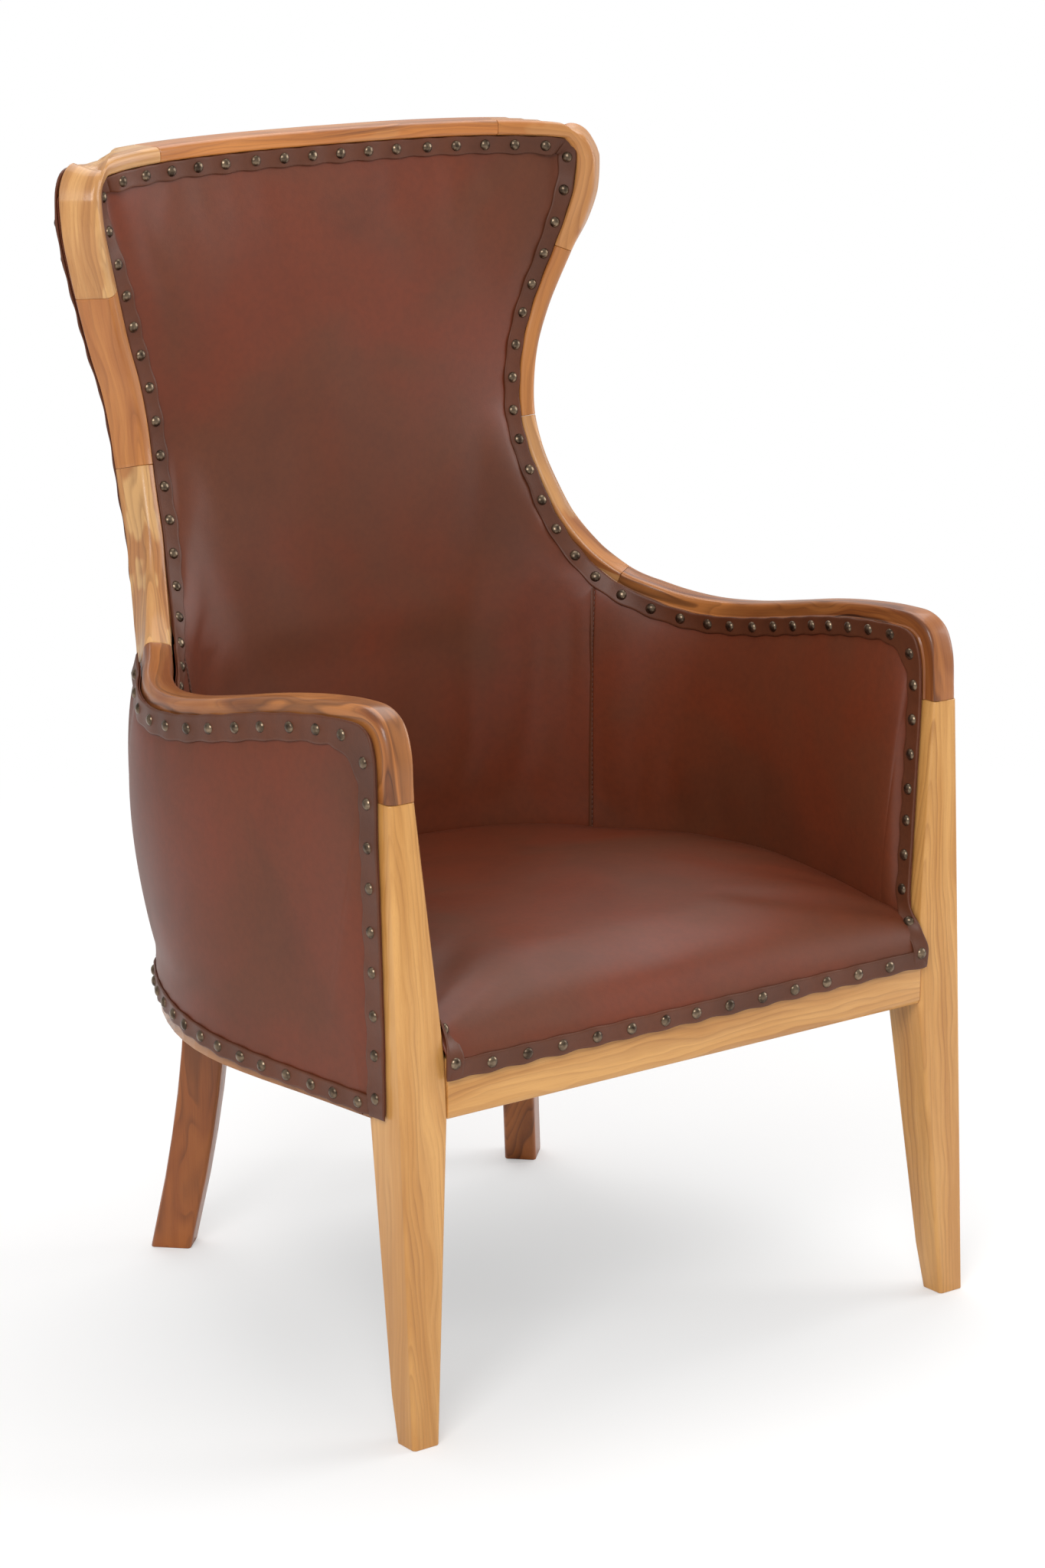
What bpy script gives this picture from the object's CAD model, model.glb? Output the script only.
# Wingback armchair: teak show-wood frame, leather upholstery, folded leather strips, brass nails.
import math
import random
import bpy
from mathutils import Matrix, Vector, noise


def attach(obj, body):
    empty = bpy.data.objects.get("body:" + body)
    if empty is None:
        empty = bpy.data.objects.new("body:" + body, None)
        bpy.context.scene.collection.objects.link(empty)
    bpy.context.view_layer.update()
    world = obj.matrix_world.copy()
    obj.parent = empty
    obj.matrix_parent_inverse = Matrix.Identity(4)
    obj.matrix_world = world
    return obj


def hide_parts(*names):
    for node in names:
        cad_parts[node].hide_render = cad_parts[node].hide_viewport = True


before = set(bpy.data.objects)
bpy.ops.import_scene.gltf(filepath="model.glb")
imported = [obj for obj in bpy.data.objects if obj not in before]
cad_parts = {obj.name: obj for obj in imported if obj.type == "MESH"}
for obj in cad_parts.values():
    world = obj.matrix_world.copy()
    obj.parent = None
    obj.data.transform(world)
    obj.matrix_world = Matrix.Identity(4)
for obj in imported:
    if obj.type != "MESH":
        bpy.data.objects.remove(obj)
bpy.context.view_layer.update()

bpy.ops.object.select_all(action="DESELECT")


# The stage: the photographer's place, a pale floor and soft lamps. None of it belongs to the
# chair. The camera stands off the chair's left front corner and looks down a little.
camera_data = bpy.data.cameras.new("camera")
camera_data.lens = 98.34
camera_data.sensor_width = 36.0
camera = bpy.data.objects.new("camera", camera_data)
bpy.context.collection.objects.link(camera)
looking_down, turned_right = 14.817, 36.975
camera.location = (-2.3517, -3.1666, 1.5330)
camera.rotation_euler = (math.radians(90 - looking_down), 0, math.radians(-turned_right))
bpy.context.scene.camera = camera


def feed(tree, node, inputs):
    """Sets a node's inputs, by name or number: to a constant, or to another node's output."""
    for socket, value in inputs.items():
        if isinstance(value, bpy.types.NodeSocket):
            tree.links.new(value, node.inputs[socket])
        else:
            node.inputs[socket].default_value = value


def add(tree, kind, inputs=None, **settings):
    """A new node in a tree, with its settings and its inputs."""
    node = tree.nodes.new(f"ShaderNode{kind}")
    for name, value in settings.items():
        setattr(node, name, value)
    feed(tree, node, inputs or {})
    return node


def maths(tree, kind, *values):
    """What a maths node makes of constants and other nodes' outputs."""
    return add(tree, "Math", dict(enumerate(values)), operation=kind).outputs[0]


def step(tree, value, low, high, least=0.0):
    """A soft step, up to 1, as a value goes from low to high."""
    inputs = {"Value": value, "From Min": low, "From Max": high, "To Min": least}
    return add(tree, "MapRange", inputs, interpolation_type="SMOOTHSTEP").outputs["Result"]


def new_material(name):
    """A node material, with its tree and its shader."""
    material = bpy.data.materials.new(name)
    material.use_nodes = True
    tree = material.node_tree
    return material, tree, tree.nodes["Principled BSDF"]


bpy.ops.mesh.primitive_plane_add(size=40, location=(0, 0, 0))
floor = bpy.context.object
floor.name = "floor"
floor_paint, tree, paint = new_material("floor_paint")
feed(tree, paint, {
    "Base Color": (0.93, 0.925, 0.92, 1), "Roughness": 0.9, "Specular IOR Level": 0.0})
place = add(tree, "TexCoord").outputs["Object"]
away = add(tree, "VectorMath", {0: place}, operation="LENGTH").outputs["Value"]
fading = step(tree, away, 0.5, 2.2, 0.35)
seen = add(tree, "LightPath").outputs["Is Camera Ray"]
white_sweep = add(tree, "Emission").outputs[0]
faded = add(tree, "MixShader", {
    0: maths(tree, "MULTIPLY", fading, seen), 1: paint.outputs[0], 2: white_sweep})
feed(tree, tree.nodes["Material Output"], {"Surface": faded.outputs[0]})
floor.data.materials.append(floor_paint)
bpy.ops.object.select_all(action="DESELECT")


def soft_lamp(name, place, aim, size, power):
    """A square soft box that points at a place on the chair."""
    lamp_data = bpy.data.lights.new(name, "AREA")
    lamp_data.shape = "SQUARE"
    lamp_data.size = size
    lamp_data.energy = power
    lamp = bpy.data.objects.new(name, lamp_data)
    bpy.context.collection.objects.link(lamp)
    lamp.location = place
    lamp.rotation_euler = (Vector(aim) - Vector(place)).to_track_quat("-Z", "Y").to_euler()


soft_lamp("key_lamp", (-2.6, -2.4, 3.0), (0, 0, 0.6), 1.9, 96)
soft_lamp("side_lamp", (3.0, -1.0, 1.7), (0, 0, 0.7), 1.9, 42)
soft_lamp("top_lamp", (0.9, 1.2, 3.4), (0, 0, 0.5), 3.0, 62)
world = bpy.data.worlds.new("studio")
bpy.context.scene.world = world
world.use_nodes = True
tree = world.node_tree
eye = add(tree, "LightPath").outputs["Is Camera Ray"]
strength = add(tree, "MapRange", {"Value": eye, "To Min": 0.55, "To Max": 1.0}).outputs["Result"]
feed(tree, tree.nodes["Background"], {"Color": (1, 1, 1, 1), "Strength": strength})
bpy.context.scene.view_settings.view_transform = "Standard"


# Show-wood rail: arms, wings and top rail. Solid teak in bent and carved lengths, scarfed and
# glued end to end, rebated inside for the leather, rounded over outside, with satin lacquer.
# It is drawn in millimetres, from stations that are shares of the chair's own sizes.
CHAIR_HEIGHT = 1089
ARM_HEIGHT = 661
HALF_WIDTH = 326.5
BACK_REACH = 573
POST_JOINT = 582
POST_WIDTH = 50
RAIL_WIDTH = 28
RAIL_DEPTH = 37
SEAT_RAIL_LOW = 294
SEAT_RAIL_TOP = 349
RAKE = 0.052
HANDS = ((1, "right"), (-1, "left"))

# Up the post: shares of the height from the seat rail's underside to the joint below the arm.
post_heights = (0.0199, 0.1911, 0.3938, 0.6969, 0.9697)
# Along the arm and the wing: shares of width, depth and height, then the section's width, its
# twist and tilt in degrees, and how far its section has changed from an arm's to a wing's.
arm_stations = [
    (1.0000, 0.0005, 0.900, 1, 0, 0, 0), (1.0000, 0.0055, 0.948, 1, 0, 0, 0),
    (1.0000, 0.0245, 0.982, 1, 0, 0, 0), (1.0000, 0.0583, 0.998, 1, 0, 0, 0),
    (1.0019, 0.1132, 1.000, 1, 0, 0, 0), (1.0140, 0.2082, 0.993, 1, 0, 0, 0),
    (1.0391, 0.3243, 0.978, 1, 0, 0, 0), (1.0610, 0.4405, 0.958, 1, 0, 0, 0),
    (1.0632, 0.5566, 0.940, 1, 0, 0, 0), (1.0369, 0.6516, 0.933, 1, -4, 0, 0),
    (0.9910, 0.7149, 0.938, 1, -8, 0, 0.1),
]
wing_stations = [
    (0.9418, 0.7572, -0.0796, 0.95, -10, 0, 0.25), (0.8947, 0.8005, -0.0585, 0.90, -6, 0, 0.45),
    (0.8575, 0.8342, -0.0305, 0.85, -3, 0, 0.6), (0.8258, 0.8638, 0.0023, 0.80, 0, 0, 0.75),
    (0.7843, 0.9071, 0.0690, 0.72, 3, 0, 0.9), (0.7558, 0.9388, 0.1448, 0.66, 7, 0, 1),
    (0.7394, 0.9683, 0.2209, 0.62, 11, 0, 1), (0.7318, 0.9884, 0.3013, 0.60, 14, 0, 1),
    (0.7383, 0.9968, 0.3878, 0.60, 18, 0, 1), (0.7591, 1.0000, 0.4743, 0.60, 22, 0, 1),
    (0.7974, 0.9979, 0.5631, 0.61, 29, 0, 1), (0.8564, 0.9810, 0.6868, 0.65, 38, 0, 1),
    (0.8893, 0.9715, 0.7570, 0.71, 43, 0, 1), (0.9166, 0.9652, 0.8270, 0.72, 46, 0, 1),
    (0.9264, 0.9641, 0.8982, 0.66, 46, 0, 1), (0.9210, 0.9657, 0.9275, 0.56, 45, 25, 1),
    (0.8991, 0.9694, 0.9371, 0.48, 40, 65, 1), (0.8532, 0.9778, 0.9430, 0.52, 30, 88, 1),
    (0.7547, 0.9958, 0.9487, 0.53, 15, 90, 1), (0.6016, 1.0127, 0.9538, 0.53, 8, 90, 1),
    (0.3281, 1.0274, 0.9576, 0.53, 3, 90, 1), (0.0000, 1.0296, 0.9589, 0.53, 0, 90, 1),
]
stations = []
for share in post_heights:
    z = SEAT_RAIL_LOW + share * (POST_JOINT - SEAT_RAIL_LOW)
    narrowed = max(0, (z - SEAT_RAIL_TOP) / (POST_JOINT - SEAT_RAIL_TOP))
    wide = POST_WIDTH + (RAIL_WIDTH - POST_WIDTH) * narrowed
    stations.append((Vector((HALF_WIDTH - wide, RAKE * z, z)), wide, 0, 0, 0))
for rows, low, high in ((arm_stations, 0, ARM_HEIGHT), (wing_stations, ARM_HEIGHT, CHAIR_HEIGHT)):
    for x, y, z, width, twist, tilt, wing in rows:
        place = Vector((x * (HALF_WIDTH - RAIL_WIDTH),
                        RAKE * POST_JOINT + y * (BACK_REACH - RAKE * POST_JOINT),
                        low + z * (high - low)))
        stations.append((place, width * RAIL_WIDTH, twist, tilt, wing))
ridge_points = [station[0] for station in stations]
LAST_STATION = len(stations) - 1
FIRST_WING = len(post_heights) + len(arm_stations)
MITRE = FIRST_WING + 16


def smooth_curve(points, t):
    """A point on a smooth curve through a list of points, with t from 0 to 1."""
    last = len(points) - 1
    place = min(max(t, 0), 1) * last
    i = min(int(place), last - 1)
    w = place - i
    p1, p2 = points[i], points[i + 1]
    p0 = points[i - 1] if i > 0 else 2 * points[0] - points[1]
    p3 = points[i + 2] if i + 2 <= last else 2 * points[last] - points[last - 1]
    d0, d1, d2 = ((b - a).length ** 0.5 for a, b in ((p0, p1), (p1, p2), (p2, p3)))
    start = ((p1 - p0) / d0 - (p2 - p0) / (d0 + d1) + (p2 - p1) / d1) * d1
    end = ((p2 - p1) / d1 - (p3 - p1) / (d1 + d2) + (p3 - p2) / d2) * d1
    square, cube = 3 * (p2 - p1) - 2 * start - end, 2 * (p1 - p2) + start + end
    return p1 + start * w + square * w ** 2 + cube * w ** 3


def curve_direction(points, t):
    return (smooth_curve(points, t + 1e-4) - smooth_curve(points, t - 1e-4)).normalized()


def mix(a, b, share):
    return a + (b - a) * share


def eased(value):
    """A soft step from 0 to 1."""
    value = min(max(value, 0), 1)
    return value * value * (3 - 2 * value)


def rail_frame(s):
    """The rail at a station: its ridge, run, outward way, face way, width and wing share."""
    i = min(int(s), LAST_STATION - 1)
    share = s - i
    width, twist, tilt, wing = (
        mix(stations[i][k], stations[i + 1][k], share) for k in (1, 2, 3, 4))
    point = smooth_curve(ridge_points, s / LAST_STATION)
    along = Vector((-1, 0, 0))
    if s < LAST_STATION:
        along = curve_direction(ridge_points, s / LAST_STATION)
    twist, tilt = math.radians(twist), math.radians(tilt)
    level = math.cos(tilt)
    out = Vector((math.cos(twist) * level, -math.sin(twist) * level, math.sin(tilt)))
    out = (out - along * out.dot(along)).normalized()
    return point, along, out, out.cross(along).normalized(), width, wing


def first_station(test, start):
    """The first station from the start, in small steps, whose next place passes a test."""
    s = start
    while s < LAST_STATION and not test(rail_frame(s + 0.05)[0]):
        s += 0.05
    return s


def height_station(z, start=FIRST_WING):
    return first_station(lambda p: p.z >= z, start)


def width_station(x):
    return first_station(lambda p: p.x <= x, MITRE)


knuckle = height_station(POST_JOINT + 2.5, len(post_heights) - 1)
elbow = height_station(636)
waist = height_station(787)
shoulder = height_station(957)
crest = width_station(197)


def knob_fall(p):
    """How far a place at the wing's tip drops: a low knob, set off from the top by a notch."""
    spread = 0.8 * abs(p.x) + 0.6 * p.y
    knob = eased((spread - 553) / 9) * eased((p.z - 1034) / 36)
    return 8 * knob + 7 * max(0, 1 - abs(spread - 554) / 5) * eased((p.z - 1040) / 16)


def arc(radius, turns, steps, start=0):
    """Points round a quarter turn, as pairs of distances from its centre."""
    angles = [math.radians(start + k * turns / steps) for k in range(steps + 1)]
    return [(radius * math.cos(angle), radius * math.sin(angle)) for angle in angles]


def rail_outline(width, wing):
    """The section across the rail: pairs of outward and face distances, once round."""
    rebate = mix(14, 9, wing)
    ledge = mix(1.4, 8, wing * wing)
    outer = min(7, width * 0.4)
    inner = outer * 0.6
    ring = [(width - 1, -RAIL_DEPTH), (width, -RAIL_DEPTH + 1),
            (width, -RAIL_DEPTH * 0.72), (width, -RAIL_DEPTH * 0.46)]
    ring += [(width - outer + a, -outer + b) for a, b in arc(outer, 90, 8)]
    ring += [(mix(inner, width - outer, share), 0.25) for share in (0.66, 0.33)]
    ring += [(inner - a, -inner + b) for a, b in arc(inner, -90, 6, 90)]
    ring += [(0, -rebate + 0.6), (-0.6, -rebate), (-ledge + 0.6, -rebate), (-ledge, -rebate - 0.6)]
    ring += [(-ledge, -RAIL_DEPTH + 1), (-ledge + 1, -RAIL_DEPTH)]
    return ring


def mirror(p):
    """A place or a way on the chair's other side."""
    return Vector((-p.x, p.y, p.z))


def mirrored(points):
    return [mirror(p) for p in points]


def to_room(point):
    """From drawing millimetres to the room's metres, with the chair's middle over the origin."""
    return Vector((point.x, point.y - 318.068, point.z)) / 1000


def new_piece(name, mesh):
    """An object for a mesh, selected and active."""
    piece = bpy.data.objects.new(name, mesh)
    bpy.context.collection.objects.link(piece)
    bpy.ops.object.select_all(action="DESELECT")
    piece.select_set(True)
    bpy.context.view_layer.objects.active = piece
    return piece


def mesh_piece(name, points, faces, grain=None, smooth_angle=50):
    """A new piece from points in drawing millimetres, with its own grain coordinates."""
    mesh = bpy.data.meshes.new(name)
    mesh.from_pydata([to_room(p) for p in points], [], faces)
    if grain:
        layer = mesh.attributes.new("grain", "FLOAT_VECTOR", "POINT")
        layer.data.foreach_set("vector", [value for g in grain for value in g])
    piece = new_piece(name, mesh)
    bpy.ops.object.mode_set(mode="EDIT")
    bpy.ops.mesh.select_all(action="SELECT")
    bpy.ops.mesh.normals_make_consistent(inside=False)
    bpy.ops.object.mode_set(mode="OBJECT")
    bpy.ops.object.shade_smooth_by_angle(angle=math.radians(smooth_angle))
    bpy.ops.object.select_all(action="DESELECT")
    return piece


def swept_piece(name, rings, coords, smooth_angle=60):
    """A closed piece through rings of equal count, with flat ends."""
    count, last = len(rings[0]), len(rings) - 1
    faces = []
    for i in range(last):
        for j in range(count):
            k = (j + 1) % count
            faces.append((i * count + j, i * count + k, (i + 1) * count + k, (i + 1) * count + j))
    faces += [tuple(range(count - 1, -1, -1)), tuple(last * count + j for j in range(count))]
    points = [p for ring in rings for p in ring]
    return mesh_piece(name, points, faces, [c for ring in coords for c in ring], smooth_angle)


def finished(piece, material, slot=None, *nodes):
    """Gives a piece its material, the nodes it stands for, its slot and its body."""
    piece.data.materials.append(material)
    if nodes:
        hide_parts(*nodes)
    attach(piece, "root")


def rail_rings(start, end, seed):
    """Fine rings along a length of rail, drawn in at both ends so that the joint shows."""
    joint_gap, joint_edge = 0.15, 0.5
    steps = max(8, round((end - start) * 10))
    places = [mix(start, end, i / steps) for i in range(steps + 1)]
    rings, coords = [], []
    run, before = seed * 1.7, None
    for i, s in enumerate(places):
        point, along, out, face, width, wing = rail_frame(s)
        point = point + along * (joint_gap if i == 0 else -joint_gap if i == steps else 0)
        run += (point - before).length / 1000 if before else 0
        before = point
        outline = rail_outline(width, wing)
        rings.append([point + out * a + face * b for a, b in outline])
        coords.append([(run, (a + 7 * seed) / 1000, (b + 11 * seed) / 1000) for a, b in outline])
    for end_at, toward in ((0, 1), (-1, -1)):
        ring = rings[end_at]
        centre = sum(ring, Vector()) / len(ring)
        along = rail_frame(places[end_at])[1]
        rings[end_at] = [p + (centre - p).normalized() * joint_edge for p in ring]
        place = 1 if end_at == 0 else len(rings) - 1
        rings.insert(place, [p + along * toward * joint_edge for p in ring])
        coords.insert(place, list(coords[end_at]))
    return rings, coords


def surface_group(name, numbers, colours):
    """A group that turns coordinates, numbers and colours into Color, Roughness and Height."""
    group = bpy.data.node_groups.new(name, "ShaderNodeTree")
    sockets = [("Vector", "INPUT", "Vector")]
    sockets += [(label, "INPUT", "Float") for label in numbers]
    sockets += [(label, "INPUT", "Color") for label in colours]
    sockets += [("Color", "OUTPUT", "Color")]
    sockets += [(label, "OUTPUT", "Float") for label in ("Roughness", "Height")]
    for label, way, kind in sockets:
        group.interface.new_socket(label, in_out=way, socket_type=f"NodeSocket{kind}")
    return group, group.nodes.new("NodeGroupInput").outputs, group.nodes.new("NodeGroupOutput")


def scaled(tree, vector, x, y, z):
    """A vector, scaled along each axis."""
    return add(tree, "VectorMath", {0: vector, 1: (x, y, z)}, operation="MULTIPLY").outputs[0]


def noise_at(tree, vector, detail, rough=0.5, scale=1.0, warp=0.0):
    """Noise at a place, from 0 to 1."""
    return add(tree, "TexNoise", {
        "Vector": vector, "Scale": scale, "Detail": detail, "Roughness": rough,
        "Distortion": warp}).outputs["Fac"]


def tint(tree, share, a, b, **settings):
    """A blend of two colours; the mix node takes them in its inputs 6 and 7."""
    return add(tree, "Mix", {0: share, 6: a, 7: b}, data_type="RGBA", **settings).outputs[2]


def teak_grain_group():
    """Teak: fine growth lines that wander along the run, dark streaks, sapwood, knots, pores."""
    tree, given, result = surface_group(
        "teak_grain", ("Figure", "Lines", "Streaks", "Sapwood"),
        ("Bright", "Middle", "Deep", "Pale"))

    def wood_noise(x, y, detail, rough=0.5, vector=given["Vector"]):
        return noise_at(tree, scaled(tree, vector, x, y, y), detail, rough)

    def less_half(value):
        return maths(tree, "SUBTRACT", value, 0.5)

    def growth_line(place, pitch, power, edge):
        band = maths(tree, "FRACT", maths(tree, "MULTIPLY", place, pitch))
        fade = step(tree, maths(tree, "SUBTRACT", 1.0, band), 0.0, edge)
        return maths(tree, "MULTIPLY", maths(tree, "POWER", band, power), fade)

    split = add(tree, "SeparateXYZ", {0: given["Vector"]}).outputs
    wander = wood_noise(2.4, 10, 3, 0.55)
    ripple = wood_noise(11, 34, 2)
    spotted = scaled(tree, given["Vector"], 5.5, 15, 15)
    spots = add(tree, "TexVoronoi", {"Vector": spotted, "Scale": 1.0})
    rare = add(tree, "SeparateColor", {0: spots.outputs["Color"]}).outputs["Red"]
    near = maths(tree, "SUBTRACT", 1.0, step(tree, spots.outputs["Distance"], 0.0, 0.42))
    knot = maths(tree, "MULTIPLY", near, step(tree, rare, 0.95, 0.97))
    across = maths(tree, "MULTIPLY_ADD", split["Z"], 0.8, split["Y"])
    sway = maths(tree, "MULTIPLY", less_half(wander),
                 maths(tree, "MULTIPLY", given["Figure"], 0.09))
    shiver = maths(tree, "MULTIPLY", less_half(ripple), 0.008)
    place = maths(tree, "ADD", maths(tree, "ADD", across, sway),
                  maths(tree, "MULTIPLY_ADD", knot, 0.016, shiver))
    flow = add(tree, "CombineXYZ", {
        "X": split["X"], "Y": place, "Z": maths(tree, "MULTIPLY", split["Z"], 0.25)}).outputs[0]
    line = growth_line(place, 210.0, 2.5, 0.14)
    broad_line = growth_line(place, 47.0, 3.0, 0.08)
    uneven = step(tree, wood_noise(1.6, 60, 2), 0.30, 0.68)
    line = maths(tree, "MULTIPLY", maths(tree, "MULTIPLY", line, uneven), given["Lines"])
    fibre = wood_noise(12, 900, 3, 0.6)
    slow = step(tree, wood_noise(3.0, 45, 3, 0.6, flow), 0.34, 0.66)
    tone = maths(tree, "ADD", slow, maths(tree, "MULTIPLY", less_half(fibre), 0.7))
    tone = maths(tree, "MINIMUM", maths(tree, "MAXIMUM", tone, 0.0), 1.0)
    ground = tint(tree, tone, given["Bright"], given["Middle"])
    patch = step(tree, wood_noise(8.0, 22, 3, 0.45, flow), 0.50, 0.53)
    ground = tint(tree, maths(tree, "MULTIPLY", patch, given["Sapwood"]), ground, given["Pale"])
    streak = step(tree, wood_noise(1.8, 110, 3, 0.5, flow), 0.56, 0.68)
    streak = maths(tree, "ADD", maths(tree, "MULTIPLY", streak, 0.75),
                   maths(tree, "MULTIPLY", broad_line, 0.75))
    dark = maths(tree, "MULTIPLY_ADD", streak, given["Streaks"], line)
    dark = maths(tree, "MULTIPLY_ADD", maths(tree, "POWER", knot, 3.0), 0.7, dark)
    pore = step(tree, wood_noise(55, 2400, 1), 0.64, 0.70)
    dark = maths(tree, "MINIMUM", maths(tree, "MULTIPLY_ADD", pore, 0.16, dark), 1.0)
    feed(tree, result, {
        "Color": tint(tree, dark, ground, given["Deep"]),
        "Roughness": maths(tree, "MULTIPLY_ADD", fibre, 0.16, 0.30),
        "Height": maths(tree, "SUBTRACT", maths(tree, "MULTIPLY", fibre, 0.35),
                        maths(tree, "MULTIPLY", pore, 0.6))})
    return tree


def surfaced(material, tree, shader, group, inputs, relief, gloss):
    """The material with its shader fed by a group, its relief and its gloss."""
    skin = add(tree, "Group", inputs, node_tree=group).outputs
    bump = add(tree, "Bump", {"Strength": relief, "Distance": 0.0004, "Height": skin["Height"]})
    feed(tree, shader, {"Base Color": skin["Color"], "Roughness": skin["Roughness"],
                        "Normal": bump.outputs["Normal"], **gloss})
    return material


teak_grain = teak_grain_group()


def teak(name, bright, middle, deep, figure, lines, streaks, sapwood=0.0, run_axis=None):
    """Teak whose grain follows the piece's own coordinates, or one axis on sawn pieces."""
    material, tree, shader = new_material(name)
    if run_axis:
        turn = {"y": (0, 0, math.radians(90)), "z": (0, math.radians(90), 0)}[run_axis]
        place = add(tree, "TexCoord").outputs["Object"]
        place = add(tree, "Mapping", {"Vector": place, "Rotation": turn}).outputs["Vector"]
    else:
        place = add(tree, "Attribute", attribute_name="grain").outputs["Vector"]
    inputs = {
        "Vector": place, "Figure": figure, "Lines": lines, "Streaks": streaks, "Sapwood": sapwood,
        "Bright": (*bright, 1), "Middle": (*middle, 1), "Deep": (*deep, 1),
        "Pale": (0.66, 0.37, 0.145, 1)}
    gloss = {"Specular IOR Level": 0.35, "Coat Weight": 0.26, "Coat Roughness": 0.13}
    return surfaced(material, tree, shader, teak_grain, inputs, 0.10, gloss)


# Each length was cut from its own board: three tones, then figure, lines, streaks and sapwood.
boards = {name: teak(f"{name}_teak", *look) for name, *look in (
    ("arm", (0.46, 0.170, 0.044), (0.23, 0.066, 0.016), (0.060, 0.018, 0.007), 1.7, 0.50, 0.85),
    ("figured", (0.68, 0.36, 0.13), (0.46, 0.19, 0.06), (0.12, 0.038, 0.013), 1.2, 0.55, 0.45, 1.0),
    ("plain", (0.54, 0.215, 0.056), (0.41, 0.14, 0.034), (0.15, 0.044, 0.012), 0.8, 0.45, 0.30),
    ("tip", (0.72, 0.40, 0.15), (0.50, 0.23, 0.075), (0.20, 0.07, 0.022), 1.0, 0.50, 0.40, 1.0),
    ("top", (0.62, 0.235, 0.055), (0.44, 0.14, 0.03), (0.13, 0.036, 0.01), 1.0, 0.50, 0.50, 0.2),
    ("red", (0.58, 0.255, 0.085), (0.37, 0.125, 0.036), (0.11, 0.032, 0.011), 1.2, 0.5, 0.6, 0.5),
    ("amber", (0.60, 0.255, 0.066), (0.46, 0.165, 0.038), (0.17, 0.05, 0.013), 0.8, 0.55, 0.35, 0.3),
)}
for seed, name, start, end, right_board, left_board in (
        (1, "arm_rail", knuckle, elbow, "arm", "arm"),
        (2, "wing_lower", elbow, waist, "red", "figured"),
        (3, "wing_middle", waist, shoulder, "plain", "plain"),
        (4, "wing_tip", shoulder, crest, "amber", "tip")):
    for hand, label in HANDS:
        rings, coords = rail_rings(start, end, seed + (0.37 if hand < 0 else 0))
        if name == "arm_rail":
            for ring, z in ((rings[0], POST_JOINT + 0.15), (rings[1], POST_JOINT + 0.65)):
                for p in ring:
                    p.z = z
        if hand < 0:
            rings = [mirrored(ring) for ring in rings]
        if name == "wing_tip":
            for p in (p for ring in rings for p in ring):
                p.z -= knob_fall(p)
        rail = swept_piece(f"show_{name}_{label}", rings, coords, 35)
        board = boards[right_board if hand > 0 else left_board]
        finished(rail, board, "teak_warm", f"{name}_{label}")

rings, coords = rail_rings(crest, LAST_STATION, 7)
rings, coords = rings[:-2], coords[:-2]
middle_run = coords[-1][0][0]
rings += [mirrored(ring) for ring in reversed(rings)]
coords += [[(2 * middle_run - run + 0.02, a, b) for run, a, b in ring] for ring in reversed(coords)]
rail = swept_piece("show_top_rail", rings, coords, 35)
finished(rail, boards["top"], "teak_warm", "top_rail")


# Front posts: pale straight-grained teak, the leg and the post in one tapered length. The side
# rails and the front rail are tenoned into them, and the arm is dowelled on top.
def shaped_copy(node, name, bevel, run_axis, seed):
    """A merged copy of a CAD solid with softened corners and grain along one axis."""
    mesh = bpy.data.objects[node].data.copy()
    mesh.materials.clear()
    piece = new_piece(name, mesh)
    bpy.ops.object.mode_set(mode="EDIT")
    bpy.ops.mesh.select_all(action="SELECT")
    bpy.ops.mesh.remove_doubles(threshold=0.00002)
    bpy.ops.mesh.normals_make_consistent(inside=False)
    bpy.ops.mesh.dissolve_limited(angle_limit=math.radians(1.5))
    bpy.ops.object.mode_set(mode="OBJECT")
    rounding = piece.modifiers.new("rounding", "BEVEL")
    rounding.width = bevel
    rounding.segments = 3
    rounding.limit_method = "ANGLE"
    rounding.angle_limit = math.radians(25)
    bpy.ops.object.modifier_apply(modifier="rounding")
    bpy.ops.object.shade_smooth_by_angle(angle=math.radians(30))
    order = {"x": (0, 1, 2), "z": (2, 0, 1)}[run_axis]
    layer = piece.data.attributes.new("grain", "FLOAT_VECTOR", "POINT")
    for vertex, value in zip(piece.data.vertices, layer.data):
        value.vector = [vertex.co[k] + seed * shift for k, shift in zip(order, (1.7, 0.11, 0.07))]
    bpy.ops.object.select_all(action="DESELECT")
    return piece


pale_teak = teak("pale_teak", (0.66, 0.345, 0.108), (0.53, 0.245, 0.062), (0.27, 0.100, 0.024),
                 0.6, 0.60, 0.24)
for seed, label in ((0.31, "right"), (1.24, "left")):
    post = shaped_copy(f"front_leg_{label}", f"post_{label}", 0.0012, "z", seed)
    finished(post, pale_teak, "teak_light", f"front_leg_{label}")


# Front seat rail: the same pale teak, with a bevel below its flat band. It is tenoned between
# the two front posts and carries the front edge of the seat.
front_rail = shaped_copy("front_seat_rail", "front_rail", 0.0015, "x", 2.3)
finished(front_rail, pale_teak, "teak_light", "front_seat_rail")


# Rear legs: sabre legs of darker teak, bandsawn to a sweep. They are set on the diagonal and
# screwed up into the seat frame's corner blocks.
dark_teak = teak("dark_teak", (0.40, 0.125, 0.026), (0.26, 0.070, 0.014), (0.060, 0.018, 0.007),
                 1.2, 0.55, 0.55)
for seed, label in ((3.1, "right"), (4.3, "left")):
    leg = shaped_copy(f"rear_leg_{label}", f"sabre_leg_{label}", 0.0015, "z", seed)
    finished(leg, dark_teak, "teak_dark", f"rear_leg_{label}")


# Side and back seat rails: bent teak behind the leather, seen only from below. They are tenoned
# into the front posts and glued to the corner blocks.
def repainted(material, *nodes):
    """Gives CAD solids that stay as they are another material."""
    for node in nodes:
        bpy.data.objects[node].data.materials.clear()
        bpy.data.objects[node].data.materials.append(material)


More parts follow.
